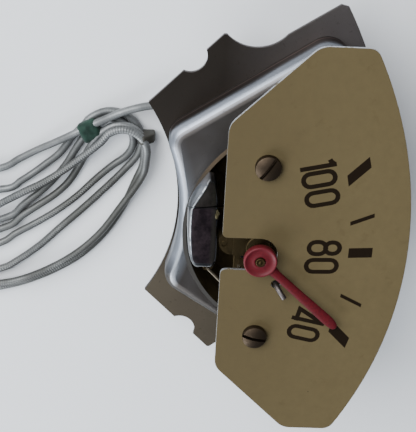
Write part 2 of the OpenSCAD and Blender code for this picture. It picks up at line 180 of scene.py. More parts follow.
class Paint:
    """A node material for one finish."""

    def __init__(self, roughness=0.5, metallic=0, **constants):
        self.material = bpy.data.materials.new("finish")
        self.material.use_nodes = True
        self.tree = self.material.node_tree
        self.shader = self.tree.nodes["Principled BSDF"]
        self.shader.inputs["Roughness"].default_value = roughness
        self.shader.inputs["Metallic"].default_value = metallic
        for key, value in constants.items():
            self.shader.inputs[key.replace("_", " ")].default_value = value
        self._place = None

    def node(self, kind, settings=None, values=None):
        """A node with its settings, and values or links for its sockets."""
        node = self.tree.nodes.new(kind)
        for key, value in (settings or {}).items():
            setattr(node, key, value)
        for key, value in (values or {}).items():
            if isinstance(value, Link):
                self.tree.links.new(value.socket, node.inputs[key])
            else:
                node.inputs[key].default_value = value
        return node

    def out(self, node, name=0):
        return Link(self, node.outputs[name])

    @property
    def place(self):
        """Where a point lies in the part's own frame, in metres."""
        if self._place is None:
            self._place = self.out(self.node("ShaderNodeTexCoord"), "Object")
        return self._place

    def stored(self, name):
        """A number that the mesh stores at its points."""
        return self.out(self.node("ShaderNodeAttribute", dict(attribute_name=name)), "Fac")

    def axis(self, name):
        return self.out(self.node("ShaderNodeSeparateXYZ", None, {0: self.place}), name)

    def above(self, name, low, high):
        """Rises from 0 to 1 between two places on an axis, in millimetres."""
        return self.axis(name).ramp(low * MM, high * MM)

    def below(self, name, low, high):
        """Falls from 1 to 0 between two places on an axis, in millimetres."""
        return self.axis(name).ramp(low * MM, high * MM, 1, 0)

    def facing(self, name):
        """How far the face looks along an axis."""
        normal = self.out(self.node("ShaderNodeNewGeometry"), "True Normal")
        return self.out(self.node("ShaderNodeSeparateXYZ", None, {0: normal}), name)

    def edges(self, low=0.52, high=0.62):
        """Worn edges, from where the shape is pointed."""
        return self.out(self.node("ShaderNodeNewGeometry"), "Pointiness").ramp(low, high)

    def noise(self, size_mm, detail=4, rough=0.55, stretch=(1, 1, 1), distortion=0):
        where = self.node("ShaderNodeMapping", None, {"Vector": self.place, "Scale": stretch})
        node = self.node("ShaderNodeTexNoise", None, {
            "Vector": self.out(where), "Scale": 1000 / size_mm, "Detail": detail,
            "Roughness": rough, "Distortion": distortion})
        return self.out(node, "Fac")

    def spots(self, size_mm):
        """Distance from scattered points."""
        node = self.node("ShaderNodeTexVoronoi", None, {"Vector": self.place, "Scale": 1000 / size_mm})
        return self.out(node, "Distance")

    def mix(self, factor, a, b):
        """From colour a to colour b, each a link or a constant."""
        a, b = (colour if isinstance(colour, Link) else (*colour, 1) for colour in (a, b))
        return self.out(self.node("ShaderNodeMix", dict(data_type="RGBA"), {0: factor, 6: a, 7: b}), 2)

    def set(self, **links):
        """Feed the shader's sockets, named with underscores."""
        for key, value in links.items():
            self.tree.links.new(value.socket, self.shader.inputs[key.replace("_", " ")])

    def bump(self, height, strength, distance_mm):
        node = self.node("ShaderNodeBump", None, {
            "Height": height, "Strength": strength, "Distance": distance_mm * MM})
        self.tree.links.new(node.outputs[0], self.shader.inputs["Normal"])


def tint(colour, *factors):
    """A colour times one factor, or times one for each of its channels."""
    by = factors if len(factors) == 3 else factors * 3
    return tuple(min(1, channel * factor) for channel, factor in zip(colour, by))


def plated_steel(colour):
    """Pressed steel, satin and brown on the flange; where the sheet is bent it is painted bright and bluish
    as a painted reflection, with painted shade at the foot of the walls.
    """
    p = Paint(metallic=1)
    cloud = p.noise(9, 5, 0.6)
    fine = p.noise(0.35, 3, 0.7)
    brown = p.noise(16, 3, 0.5, distortion=0.4).ramp(0.40, 0.62)
    pit = p.noise(0.9, 4, 0.7).ramp(0.60, 0.72)
    flat = p.facing("Z").ramp(0.80, 0.97)
    sideways = p.facing("X")
    wall = (sideways * sideways).ramp(0.03, 0.15)
    flange = p.below("Z", FLANGE_Z + 0.3, FLANGE_Z + 1.2)
    # Where the walls meet the flange: a band for painted shade at their foot, and a thin line for a painted
    # highlight just above the flange
    foot_shade = p.below("Z", FLANGE_Z + 2.2, FLANGE_Z + 3.3)
    foot_glint = p.above("Z", FLANGE_Z + 0.62, FLANGE_Z + 0.75) * p.below("Z", FLANGE_Z + 0.9, FLANGE_Z + 1.05)
    from_apex = p.axis("Y") - APEX[1] * MM
    reach = p.axis("X") * p.axis("X") + from_apex * from_apex
    # Painted highlight: the pan's roof is painted bright and bluish near its curved outer edge, standing in
    # for a rounder bend there
    shoulder = reach.ramp((32.4 * MM) ** 2, (34.6 * MM) ** 2, 1, 0) * p.above("X", -16, 4)
    high_end = p.above("Y", -6, 12) * p.below("X", -12, -8)
    dull = tint(colour, 0.42, 0.38, 0.34)
    # Painted light on the bent walls: a bright bluish painted reflection, brighter towards low Y and dark
    # towards high X, then painted shade at the foot and a painted highlight line
    bend_painted_light = p.mix(p.above("Y", -14, 4), (0.31, 0.33, 0.37), (0.17, 0.18, 0.20))
    bend_painted_light = p.mix(p.above("X", 8, 12), bend_painted_light, (0.052, 0.047, 0.042))
    bend_painted_light = p.mix(wall * foot_shade, bend_painted_light, (0.075, 0.064, 0.060))
    bend_painted_light = p.mix(wall * foot_glint * 0.8, bend_painted_light, (0.26, 0.19, 0.17))
    base = p.mix(flat, bend_painted_light, p.mix(brown, tint(colour, 1.2), tint(dull, 1.6)))
    # The flange is painted darker towards low X and lighter towards high X, and lighter again at low X where
    # Y is high
    tone_shift = p.mix(p.above("X", 4, 14), tint(dull, 0.85), tint(colour, 1.15, 1.03, 0.79))
    base = p.mix(flange * flat, base, tone_shift)
    base = p.mix(high_end * flange * flat, base, (0.150, 0.132, 0.125))
    base = p.mix(shoulder * (1 - flange) * flat, base, (0.34, 0.36, 0.39))
    base = p.mix(pit * flat * 0.30, base, (0.02, 0.013, 0.010))
    p.set(Base_Color=base, Roughness=cloud * 0.14 + fine * 0.10 + flange * 0.08 + pit * 0.15 + 0.30)
    p.bump(fine * 0.6 + cloud * 0.8, 0.25, 0.03)
    return p.material


def cup_brass(colour):
    """Drawn brass, dark partly with age and partly as painted shade deep in the cup; its rim is painted as a
    lighter tan line, as painted light, that turns grey towards the low end of the scale.
    """
    p = Paint(metallic=0.35, Specular_IOR_Level=0.1)
    patch = p.noise(4, 5, 0.65).ramp(0.35, 0.65)
    # Painted light: the rim's face is painted as a lighter line, tan, turning grey towards the low end of the
    # scale
    lit_rim = p.above("Z", PAN_Z - 0.4, PAN_Z - 0.15) * p.facing("Z").over(0.5)
    low_end = p.above("X", -9, -3)
    # The body is painted near-black, partly tarnish and partly painted shade deep inside the cup
    base = p.mix(patch, tint(colour, 0.75), tint(colour, 0.40))
    base = p.mix(lit_rim * (1 - low_end), base, (0.11, 0.080, 0.052))
    base = p.mix(lit_rim * low_end * 0.8, base, (0.060, 0.058, 0.056))
    p.set(Base_Color=base, Roughness=patch * 0.2 + 0.42)
    p.bump(patch, 0.2, 0.05)
    return p.material


def aged_brass(colour, dull, roughness):
    """Brass with darker tarnish in patches."""
    p = Paint(metallic=1)
    patch = p.noise(4, 5, 0.65, distortion=0.3).ramp(0.38, 0.66)
    fine = p.noise(0.3, 3, 0.6)
    dark = tint(colour, 0.35, 0.30, 0.26)
    base = p.mix(patch * dull, colour, dark)
    base = p.mix(p.edges() * 0.4, base, tint(colour, 1.5))
    p.set(Base_Color=base, Roughness=patch * 0.2 + fine * 0.1 + roughness)
    p.bump(fine, 0.2, 0.02)
    return p.material


def turned_steel(colour, roughness, rust):
    """Turned steel with fine specks of rust."""
    p = Paint(metallic=1)
    fine = p.noise(0.25, 4, 0.6)
    speck = p.noise(1.1, 5, 0.7).ramp(0.56, 0.70)
    base = p.mix(speck * rust, colour, (0.11, 0.055, 0.03))
    base = p.mix(p.edges() * 0.4, base, tint(colour, 1.4))
    p.set(Base_Color=base, Roughness=speck * 0.3 + fine * 0.1 + roughness)
    p.bump(fine, 0.25, 0.02)
    return p.material


def blued_steel(colour):
    """The hairspring's blued steel."""
    p = Paint(metallic=1)
    fine = p.noise(0.4, 3)
    p.set(Base_Color=p.mix(fine.ramp(0.3, 0.7), colour, tint(colour, 0.5)), Roughness=fine * 0.1 + 0.2)
    return p.material


def tube_alloy(colour):
    """The Bourdon tube: grey wall with smears and a painted highlight along the front's outer rim; its front
    painted near-black and mottled as painted shade, and its crown painted lighter as painted reflection.
    """
    p = Paint(Specular_IOR_Level=0.03, Coat_Roughness=0.08)
    smear = p.noise(2.2, 5, 0.62, stretch=(0.5, 1, 1), distortion=0.7)
    mottle = p.noise(1.1, 4, 0.6)
    fine = p.noise(0.5, 4, 0.7)
    mark = p.stored(FRONT_MARK)
    front = mark.ramp(0.55, 0.72)
    front_rim = mark.ramp(0.22, 0.38) * mark.ramp(0.50, 0.60, 1, 0)
    # Painted highlight: a near-white line along the front's outer rim, broken up by the mottle
    rim_glint = front_rim * p.below("Y", -8.4, -7.4) * p.below("X", 1, 4)
    crown = p.below("X", SEAM_X - 0.1, SEAM_X + 0.2)
    seam = p.above("X", SEAM_X - 0.15, SEAM_X) - p.above("X", SEAM_X + 0.1, SEAM_X + 0.3)
    shade = p.above("Y", -8.2, -7.2).largest(p.above("X", 2.4, 4.6))
    smeared = smear.ramp(0.42, 0.62)
    wall = p.mix(smeared, tint(colour, 1.1), tint(colour, 0.42))
    # Painted reflection: the crown's wall is painted lighter than the rest of the wall, and below, its front
    # a little lighter
    wall = p.mix(crown, wall, p.mix(smeared, tint(colour, 1.1), tint(colour, 0.65)))
    wall = p.mix(shade * 0.9, wall, tint(colour, 0.12))
    wall = p.mix(rim_glint * mottle.ramp(0.35, 0.50), wall, (0.85, 0.87, 0.88))
    # Painted shade: the front is painted near-black and not metallic, standing in for the shade under the
    # dial; a painted highlight runs along its inner edge
    dark = p.mix(mottle.ramp(0.35, 0.65), (0.007, 0.005, 0.006), (0.020, 0.014, 0.016))
    dark = p.mix(p.above("Y", -7.4, -6.8) * 0.6, dark, (0.022, 0.021, 0.016))
    dark = p.mix(crown * 0.5, dark, (0.012, 0.012, 0.008))
    dark = p.mix(seam.ramp(0, 1) * 0.7, dark, (0.006, 0.006, 0.006))
    p.set(Base_Color=p.mix(front, wall, dark), Metallic=1 - front * 0.95,
          Roughness=smear * 0.20 + front * 0.20 + 0.20,
          Coat_Weight=smear.ramp(0.35, 0.6) * (1 - front) * 0.7)
    p.bump(smear * 1.5 + fine * 0.4, 0.45, 0.10)
    return p.material


def brazing():
    """A smear of old brazing metal, yellow and pitted."""
    p = Paint(metallic=0.7)
    lump = p.noise(0.8, 4, 0.7)
    base = p.mix(lump.ramp(0.3, 0.7), (0.12, 0.10, 0.045), (0.045, 0.038, 0.022))
    p.set(Base_Color=base, Roughness=lump * 0.3 + 0.35)
    p.bump(lump, 0.6, 0.1)
    return p.material


def dial_paint(colour):
    """Cream enamel gone olive, a little stained and scuffed, over sheet whose cut edge is bare."""
    p = Paint(Specular_IOR_Level=0.12)
    cloud = p.noise(22, 4, 0.5)
    mottle = p.noise(1.6, 5, 0.7)
    grain = p.noise(0.22, 2, 0.6)
    stain = p.noise(2.6, 6, 0.72, distortion=0.3).ramp(0.60, 0.74)
    speck = p.spots(2.6).ramp(0.035, 0.055, 1, 0) * p.noise(7).over(0.56)
    scratch = p.noise(2, 2, 0.5, stretch=(0.2, 1.4, 1)).ramp(0.72, 0.76)
    # Painted light: the paint is darker at low Y and lighter towards high Y
    painted_light_side = p.above("Y", -20, 18)
    base = p.mix(painted_light_side, tint(colour, 0.86), tint(colour, 1.22))
    base = p.mix(cloud.ramp(0.35, 0.65) * 0.3, base, tint(colour, 0.90, 0.88, 0.84))
    base = p.mix(mottle.ramp(0.3, 0.8) * 0.40, base, tint(colour, 0.78))
    base = p.mix(stain * 0.32, base, tint(colour, 0.62, 0.55, 0.42))
    base = p.mix(speck * 0.8, base, (0.02, 0.013, 0.007))
    base = p.mix(scratch * 0.12, base, tint(colour, 1.3))
    bare = 1 - p.facing("Z").ramp(0.25, 0.6)
    wear = bare * p.noise(1, 4, 0.7).ramp(0.34, 0.46)
    base = p.mix(wear, base, (0.42, 0.43, 0.45))
    p.set(Base_Color=base, Metallic=wear * 0.9, Roughness=mottle * 0.18 + stain * 0.1 + 0.46 - wear * 0.16)
    p.bump(grain * 0.5 + mottle * 0.8, 0.15, 0.03)
    return p.material


def scale_ink(colour):
    """Dark brown print, thin in places."""
    p = Paint(Specular_IOR_Level=0.06)
    tone_shift = p.noise(0.7, 5, 0.7).ramp(0.62, 0.78)
    p.set(Base_Color=p.mix(tone_shift * 0.35, colour, (0.03, 0.023, 0.012)), Roughness=tone_shift * 0.2 + 0.6)
    return p.material


def satin_red(colour):
    """Red paint on the pointer, darker in the grain."""
    p = Paint(Specular_IOR_Level=0.2, Coat_Weight=0.03, Coat_Roughness=0.3)
    grain = p.noise(0.45, 5, 0.7)
    cloud = p.noise(2.2, 3)
    base = p.mix(grain.ramp(0.35, 0.75), tint(colour, 1.12), tint(colour, 0.55, 0.8, 0.7))
    # Painted highlight: everything above 29.45 mm, chiefly the hub's raised rim, is painted a lighter pink
    hub_rim_sheen = p.above("Z", 29.45, 29.85)
    base = p.mix(hub_rim_sheen * 0.5, base, tint(colour, 1.5, 3, 2.6))
    p.set(Base_Color=base, Roughness=cloud * 0.2 + grain * 0.12 + 0.36)
    p.bump(grain, 0.25, 0.03)
    return p.material


def wire_armour(colour):
    """Close-wound wire round the capillary, grey and greasy; ribs follow the run and fade in places."""
    p = Paint(metallic=0.45)
    run = p.stored(RUN_MARK)
    rib = (run * (2 * math.pi / (RIB_PITCH * MM))).wave()
    zone = p.noise(14, 2).ramp(0.50, 0.60).largest(run.ramp(0.892, 0.902))
    dirt = p.noise(6, 4, 0.6).ramp(0.38, 0.66)
    olive = p.noise(17, 2).ramp(0.48, 0.60)
    # The strands are painted darker towards the table
    low = p.below("Z", 0.9, 2.4)
    base = p.mix(dirt, tint(colour, 1.45), tint(colour, 0.70))
    base = p.mix(olive * 0.45, base, tint(colour, 0.50, 0.46, 0.38))
    base = p.mix(low * 0.25, base, tint(colour, 0.45))
    # The armour is painted darker towards high X and high Y, from X -8 mm and Y -42 mm on
    tone_shift = p.above("X", -8, 0) * p.above("Y", -42, -30)
    base = p.mix(tone_shift * 0.75, base, tint(colour, 0.27, 0.25, 0.20))
    # Painted shade: the grooves between the wire's turns are painted darker, most where the ribs show
    base = p.mix(rib.ramp(-1, -0.2, 1, 0) * (zone * 0.55 + 0.12), base, tint(colour, 0.35))
    p.set(Base_Color=base, Roughness=dirt * 0.2 + 0.36)
    p.bump(rib * (zone * 0.6 + 0.15) + dirt * 0.3, 0.5, 0.08)
    return p.material


def binding_tape(colour):
    """Dark green cloth tape, dulled where it laps."""
    p = Paint(Specular_IOR_Level=0.15, Sheen_Weight=0.08)
    weave = p.noise(0.28, 2, 0.5)
    cloud = p.noise(1.6, 4)
    p.set(Base_Color=p.mix(cloud.ramp(0.3, 0.7), tint(colour, 1.5), tint(colour, 0.6)),
          Roughness=cloud * 0.2 + 0.6)
    p.bump(weave + cloud, 0.6, 0.06)
    return p.material


def dark_strap():
    """Old brown-grey strap, rubbed lighter at its corners."""
    p = Paint(Specular_IOR_Level=0.3)
    grain = p.noise(0.6, 4)
    base = p.mix(grain, (0.022, 0.020, 0.015), (0.045, 0.041, 0.033))
    base = p.mix(p.edges(0.52, 0.60) * 0.5, base, (0.08, 0.075, 0.062))
    p.set(Base_Color=base, Roughness=grain * 0.2 + 0.5)
    p.bump(grain, 0.3, 0.05)
    return p.material


def studio_floor():
    """Pale matt card."""
    p = Paint(roughness=0.9)
    soft = p.noise(60, 2)
    p.set(Base_Color=p.mix(soft, (0.86, 0.86, 0.86), (0.89, 0.89, 0.89)))
    return p.material


FINISHES = {}
SLOT_OF = {entry["node"]: entry["material_slot"] for entry in frame["record"]["subparts"]}


def finishes():
    """Every finish, made once; most have the names of the record's slots."""
    if not FINISHES:
        scene = bpy.context.scene
        dial, metal, capillary = scene.gauge_dial, scene.gauge_metal, scene.gauge_capillary
        FINISHES.update(
            plated_steel=plated_steel(metal.steel),
            cup_brass=cup_brass(metal.brass),
            movement_brass=aged_brass(tint(metal.brass, 0.72), 0.75, 0.34),
            steel_fasteners=turned_steel((0.11, 0.095, 0.09), 0.42, 0.4),
            pivot_steel=turned_steel((0.62, 0.62, 0.64), 0.16, 0.1),
            dull_wire=turned_steel((0.15, 0.125, 0.090), 0.45, 0.2),
            blued_spring=blued_steel((0.07, 0.10, 0.20)),
            tube_alloy=tube_alloy(metal.tube),
            brazing=brazing(),
            dark_bush=aged_brass((0.050, 0.034, 0.015), 0.5, 0.45),
            dial_paint=dial_paint(dial.cream),
            scale_ink=scale_ink(dial.ink),
            dial_screw_metal=aged_brass((0.085, 0.062, 0.042), 0.55, 0.30),
            pointer_paint=satin_red(metal.red),
            capillary_armour=wire_armour(capillary.armour),
            green_tape=binding_tape(capillary.tape),
            dark_clip=dark_strap(),
            bulb_metal=aged_brass((0.40, 0.31, 0.17), 0.6, 0.30),
            nut_metal=turned_steel((0.42, 0.42, 0.42), 0.30, 0.35),
            floor=studio_floor(),
        )
        for name, material in FINISHES.items():
            material.name = name
    return FINISHES


# Mesh helpers

def add(name, mesh, finish, body, *nodes):
    """A mesh as a piece that rides on a body, with its finish, in place of some CAD nodes."""
    piece = bpy.data.objects.new(name, mesh)
    bpy.context.scene.collection.objects.link(piece)
    mesh.materials.clear()
    mesh.materials.append(finishes()[finish])
    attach(piece, body)
    if nodes:
        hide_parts(*nodes)
    return piece


def from_bmesh(name, bm):
    """A mesh from a bmesh, which is freed."""
    mesh = bpy.data.meshes.new(name)
    bm.to_mesh(mesh)
    bm.free()
    return mesh


# Faces this level, and larger than this in square millimetres, are shaded flat
LEVEL_NORMAL, LEVEL_AREA = 0.9999, 0.2


def smooth(mesh, angle):
    """Smooth shading, but level faces of some size stay flat."""
    for polygon in mesh.polygons:
        polygon.use_smooth = True
    mesh.set_sharp_from_angle(angle=math.radians(angle))
    for polygon in mesh.polygons:
        if abs(polygon.normal.z) > LEVEL_NORMAL and polygon.area > LEVEL_AREA * MM * MM:
            polygon.use_smooth = False


def modified(name, mesh, kind, **settings):
    """A copy of a mesh with one modifier applied."""
    holder = bpy.data.objects.new(name, mesh)
    bpy.context.scene.collection.objects.link(holder)
    modifier = holder.modifiers.new(name, kind)
    for key, value in settings.items():
        setattr(modifier, key, value)
    depsgraph = bpy.context.evaluated_depsgraph_get()
    copy = bpy.data.meshes.new_from_object(holder.evaluated_get(depsgraph))
    bpy.data.objects.remove(holder)
    return copy


# Points of a CAD mesh this close are one, and faces within this many degrees of each other are level
MERGE, LEVEL_DEG = 0.002, 1


def dress(node, width, segments=2, angle=30):
    """A copy of a CAD node with its edges eased by a small round, as the piece that stands for it."""
    name = node + "_dressed"
    bm = bmesh.new()
    bm.from_mesh(NODES[node].data)
    bmesh.ops.remove_doubles(bm, verts=bm.verts, dist=MERGE * MM)
    bmesh.ops.dissolve_limit(bm, angle_limit=math.radians(LEVEL_DEG), verts=bm.verts, edges=bm.edges)
    mesh = modified(name, from_bmesh(name, bm), "BEVEL", width=width * MM, segments=segments,
                    limit_method="ANGLE", angle_limit=math.radians(angle), use_clamp_overlap=True)
    smooth(mesh, 32)
    add(name, mesh, SLOT_OF[node], NODES[node]["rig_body"], node)


def coat(node, finish=None):
    """A CAD node kept as it is, with its finish."""
    mesh = NODES[node].data
    mesh.materials.clear()
    mesh.materials.append(finishes()[finish or SLOT_OF[node]])
    smooth(mesh, 30)


def finished(name, bm, angle=60, levels=0):
    """A mesh from a bmesh with its normals outward, subdivided and smoothed."""
    bmesh.ops.recalc_face_normals(bm, faces=bm.faces)
    mesh = from_bmesh(name, bm)
    if levels:
        mesh = modified(name, mesh, "SUBSURF", levels=levels, render_levels=levels)
    smooth(mesh, angle)
    return mesh


def join(bm, mesh):
    """Add a mesh to a bmesh, and remove the mesh."""
    bm.from_mesh(mesh)
    bpy.data.meshes.remove(mesh)


def raised(bm, face, axis, to):
    """Pull a face out along an axis to a place in millimetres."""
    moved = bmesh.ops.extrude_face_region(bm, geom=[face])
    for vert in [g for g in moved["geom"] if isinstance(g, bmesh.types.BMVert)]:
        vert.co[axis] = to * MM
    bmesh.ops.recalc_face_normals(bm, faces=bm.faces)


def skin(bm, rings):
    """Faces between neighbouring rings of vertices, and one over each end."""
    for a, b in zip(rings, rings[1:]):
        for k in range(len(a)):
            n = (k + 1) % len(a)
            bm.faces.new((a[k], a[n], b[n], b[k]))
    bm.faces.new(list(reversed(rings[0])))
    bm.faces.new(rings[-1])


def smooth_line(points, per_span):
    """Points along a smooth curve through the given ones."""
    line = []
    for i in range(len(points) - 1):
        a, b, c, d = (Vector(points[min(max(k, 0), len(points) - 1)]) for k in (i - 1, i, i + 1, i + 2))
        for step in range(per_span):
            t = step / per_span
            line.append(0.5 * (2 * b + (c - a) * t + (2 * a - 5 * b + 4 * c - d) * t * t
                               + (3 * b - a - 3 * c + d) * t ** 3))
    return line + [Vector(points[-1])]


def evenly(line, spacing):
    """The same line with its points a fixed distance apart."""
    out, carry = [line[0]], 0
    for a, b in zip(line, line[1:]):
        length = (b - a).length
        at = spacing - carry
        while at <= length:
            out.append(a.lerp(b, at / length))
            at += spacing
        carry = (carry + length) % spacing if length else carry
    if (out[-1] - line[-1]).length > spacing * 0.3:
        out.append(line[-1])
    return out


def arc(centre, radius, start, stop, level, steps):
    """Points on a level arc between two angles in degrees."""
    angles = [math.radians(start + (stop - start) * k / steps) for k in range(steps + 1)]
    return [(centre[0] + radius * math.cos(a), centre[1] + radius * math.sin(a), level) for a in angles]


def loft(bm, sections, marked=(), within=(0, 0)):
    """Skin over sections of equally many points in millimetres, closed at both ends.
    The marked points of the sections within a range carry a 1 that their material reads."""
    layer = bm.verts.layers.float.new(FRONT_MARK)
    rings = [[bm.verts.new(mm(*point)) for point in section] for section in sections]
    for ring in rings[within[0]:within[1]]:
        for k in marked:
            ring[k][layer] = 1
    skin(bm, rings)


def lathe(bm, profile, steps=64, closed=False):
    """A profile of (radius, height) turned about the upright axis; radius 0 closes it."""
    rings = []
    for radius, height in profile:
        if radius == 0:
            rings.append([bm.verts.new(mm(0, 0, height))] * steps)
        else:
            circle = arc((0, 0), radius, 0, 360, height, steps)
            rings.append([bm.verts.new(mm(*point)) for point in circle[:-1]])
    pairs = list(zip(rings, rings[1:])) + ([(rings[-1], rings[0])] if closed else [])
    for a, b in pairs:
        for k in range(steps):
            corners = [a[k], a[(k + 1) % steps], b[(k + 1) % steps], b[k]]
            bm.faces.new([v for i, v in enumerate(corners) if v not in corners[:i]])


def tube_mesh(name, line, radius_at, sides):
    """A round tube along a line, with each point's run along it stored for the ribs."""
    bm = bmesh.new()
    layer = bm.verts.layers.float.new(RUN_MARK)
    rings, run, up = [], 0, Vector((0, 0, 1))
    for i, point in enumerate(line):
        ahead = (line[min(i + 1, len(line) - 1)] - line[max(i - 1, 0)]).normalized()
        side = ahead.cross(up)
        side = side.normalized() if side.length > 1e-4 else Vector((1, 0, 0))
        up = side.cross(ahead)
        if i:
            run += (point - line[i - 1]).length
        ring = []
        for k in range(sides):
            a = 2 * math.pi * k / sides
            vert = bm.verts.new(point + radius_at(run) * (math.cos(a) * side + math.sin(a) * up))
            vert[layer] = run
            ring.append(vert)
        rings.append(ring)
    skin(bm, rings)
    return finished(name, bm)


# The capillary's route, in millimetres. Strands lie on the table, on one strand or on two;
# a point that names no height lies on the table.
LOW, HIGH, TOP = 0.66, 1.96, 3.26
EXIT = (-12.161, -11.07, 3.2)
LEAD = [EXIT, (-13.6, -13.1, 3.25), (-14.2, -15.5, 3.1), (-13.9, -18, 2.8), (-13.1, -20.6, 2.5),
        (-12.2, -22.8, 2.3)]
UP_RUNS = [
    [(-11.1, -24.9, 2.1), (-9.9, -27.2, 2), (-8.4, -29.9, HIGH), (-6.3, -33.6, 1.5),
     (-4.5, -36.8, 0.9), (-2.6, -40), (-0.7, -43.4), (0.4, -52), (-0.1, -70), (-0.1, -92)],
    [(-9.7, -28.5), (-7, -30.9), (-4, -33), (-1.9, -35.4), (-0.1, -37.6), (1.5, -39.8),
     (3.2, -42.6), (3.6, -52), (1.9, -70), (1.9, -92)],
    [(-8, -28.3), (-5.2, -30.1), (-2, -31.9), (1, -34.2), (3.6, -36.7), (6.2, -39.7),
     (8.6, -42.3), (10.3, -50, 0.8), (8.6, -70, 0.9), (7.8, -88, 1.9)],
    [(-7.2, -26.9, 1.9), (-4.2, -28.5, 1.1), (-1.4, -29.9), (1.4, -31.6), (3.9, -34),
     (6.1, -36.9), (8.3, -39.9), (10.6, -42.6), (12.2, -50, 0.8), (10.2, -70, 0.9),
     (9.2, -88, 1.9)],
    [(-7.4, -25.6, TOP), (-5, -28.2, 3), (-1.6, -32.2, 2.6), (1.1, -35.8, 2.1),
     (2.9, -39, 2.05), (5, -42.6, 2.05)],
]
DOWN_RUNS = [
    [(20.9, -92), (20.9, -70), (20.9, -52), (19.3, -44.3), (17.4, -41), (14.2, -37),
     (10.4, -33.2), (6.2, -28.9), (1.8, -24.7), (-1.2, -22)],
    [(18.9, -92), (18.4, -70), (16.6, -52), (14, -44.1), (11.9, -41.1), (9.8, -37.7),
     (7.2, -33.9), (4.1, -30.2), (0.6, -26.8), (-2, -24)],
    [(27, -88, 1.9), (26.8, -70), (25.6, -54), (23.2, -44.6), (21.6, -39.6), (18.8, -34),
     (15.4, -29.2), (11, -25.2), (5.6, -22, 0.8), (0.4, -19.9, 1.3), (-2.6, -18.75, 1.8)],
    [(25.6, -88, 1.9), (25.4, -70), (24.2, -54, 0.8), (22.2, -45.4, 1.4), (20.8, -40.6, 1.9),
     (18.1, -35, 1.95), (14.6, -30, 1.95), (10.4, -25.9, 1.95), (5.2, -22.4, 2.05),
     (0.8, -19.7, 2.5), (-2, -18.4, 3)],
]
# Arcs at the far end, beside the gauge and towards the bulb: middle, radius, first and last angle, level
FAR_ARCS = [((10.4, -103.9), 10.5, 180, 360, LOW), ((10.4, -103.9), 8.5, 180, 360, LOW),
            ((17.4, -103.9), 9.6, 180, 360, 1.98), ((17.4, -103.9), 8.2, 180, 360, 1.98)]
FOLDS = [((-6.8, -24.2), 5.25, 58, 222, LOW), ((-6.8, -24.4), 4, 44, 222, LOW),
         ((-6, -22.4), 4.1, 78, 224, HIGH), ((-5.6, -22), 4.1, 74, 218, TOP)]
TURN = ((1.9, -49.9), 6.5, 20, -80, 2.05)
FAR_STEPS, FOLD_STEPS = 8, 5
NECK = (-24, -65, 8.5)
TAIL = [(-3, -56.5, 2.1), (-9, -56.5, 3.5), (-14.5, -56.9, 5.8), (-19.4, -58.3, 7.8),
        (-22.9, -61.2, 8.5), NECK]


def capillary_points():
    """The whole capillary from the ferrule to the bulb's neck, in millimetres."""
    points = list(LEAD)
    for up, far, down, fold in zip(UP_RUNS, FAR_ARCS, DOWN_RUNS, FOLDS):
        points += up + arc(*far, FAR_STEPS) + down + arc(*fold, FOLD_STEPS)
    points += UP_RUNS[-1] + arc(*TURN, FOLD_STEPS) + TAIL
    return [point if len(point) == 3 else (*point, LOW) for point in points]


# Operators, one for each piece or group of pieces

# One fit of the dial and the bracket gave the camera's lens, its place and its right, up and back directions
LENS, SENSOR, CAMERA_NEAR = 82.21, 36, 5
CAMERA_AT = (-68.573, -13.185, DIAL_Z + 124.674)
CAMERA_AXES = ((-0.04816, 0.99869, 0.01711), (-0.89322, -0.03539, -0.44822), (-0.44702, -0.03687, 0.89376))


class GAUGE_OT_camera(bpy.types.Operator):
    """Place the camera where the picture was taken from"""
    bl_idname = "gauge.camera"
    bl_label = "Camera"

    def execute(self, context):
        data = bpy.data.cameras.new("camera")
        data.sensor_width = SENSOR
        data.sensor_fit = "HORIZONTAL"
        data.lens = LENS
        data.clip_start = CAMERA_NEAR * MM
        camera = bpy.data.objects.new("camera", data)
        turn = Matrix(CAMERA_AXES).transposed().to_4x4()
        camera.matrix_world = Matrix.Translation(mm(*CAMERA_AT)) @ turn
        context.scene.collection.objects.link(camera)
        context.scene.camera = camera
        return {"FINISHED"}


CORD_SPAN_STEPS, CORD_SPACING, CORD_SIDES = 14, 0.9, 12
# The armour is squeezed by this share of its radius, in two waves given in radians per metre
SQUEEZE, SQUEEZE_WAVES = 0.05, (160, 61)


class GAUGE_OT_capillary(bpy.types.Operator):
    """Lay the armoured capillary from the gauge through its loops to the bulb"""
    bl_idname = "gauge.capillary"
    bl_label = "Capillary"

    def execute(self, context):
        size = context.scene.gauge_capillary.diameter
        points = [mm(*point) for point in capillary_points()]
        line = evenly(smooth_line(points, CORD_SPAN_STEPS), CORD_SPACING * MM)
        length = sum((b - a).length for a, b in zip(line, line[1:]))

        def radius_at(run):
            short, long = (math.sin(run * wave + phase) for phase, wave in enumerate(SQUEEZE_WAVES))
            return size / 2 * (1 + SQUEEZE * short * long)

        mesh = tube_mesh("capillary", line, radius_at, CORD_SIDES)
        piece = add("capillary", mesh, "capillary_armour", "gauge",
                    "capillary_lead", "capillary_hank", "capillary_tail")
        mm(*EXIT)
        return {"FINISHED"}


# Middle and direction of the bound bundle, and the tape's width, half girth, level and lapping turns
TAPE_AT, TAPE_ALONG, TAPE_L = (-8.7, -27.7), -60, 3.4
TAPE_HALF_W, TAPE_HALF_H, TAPE_Z = 1.62, 1.32, 1.40
TAPE_TURNS, TAPE_STEPS, TAPE_SIDES = 3, 18, 40
# How far a lap stands out, the middle bulges, the ends draw in and one end is wider
TAPE_LAP, TAPE_BULGE, TAPE_ENDS, TAPE_WIDER = 0.05, 0.10, 0.30, 0.15


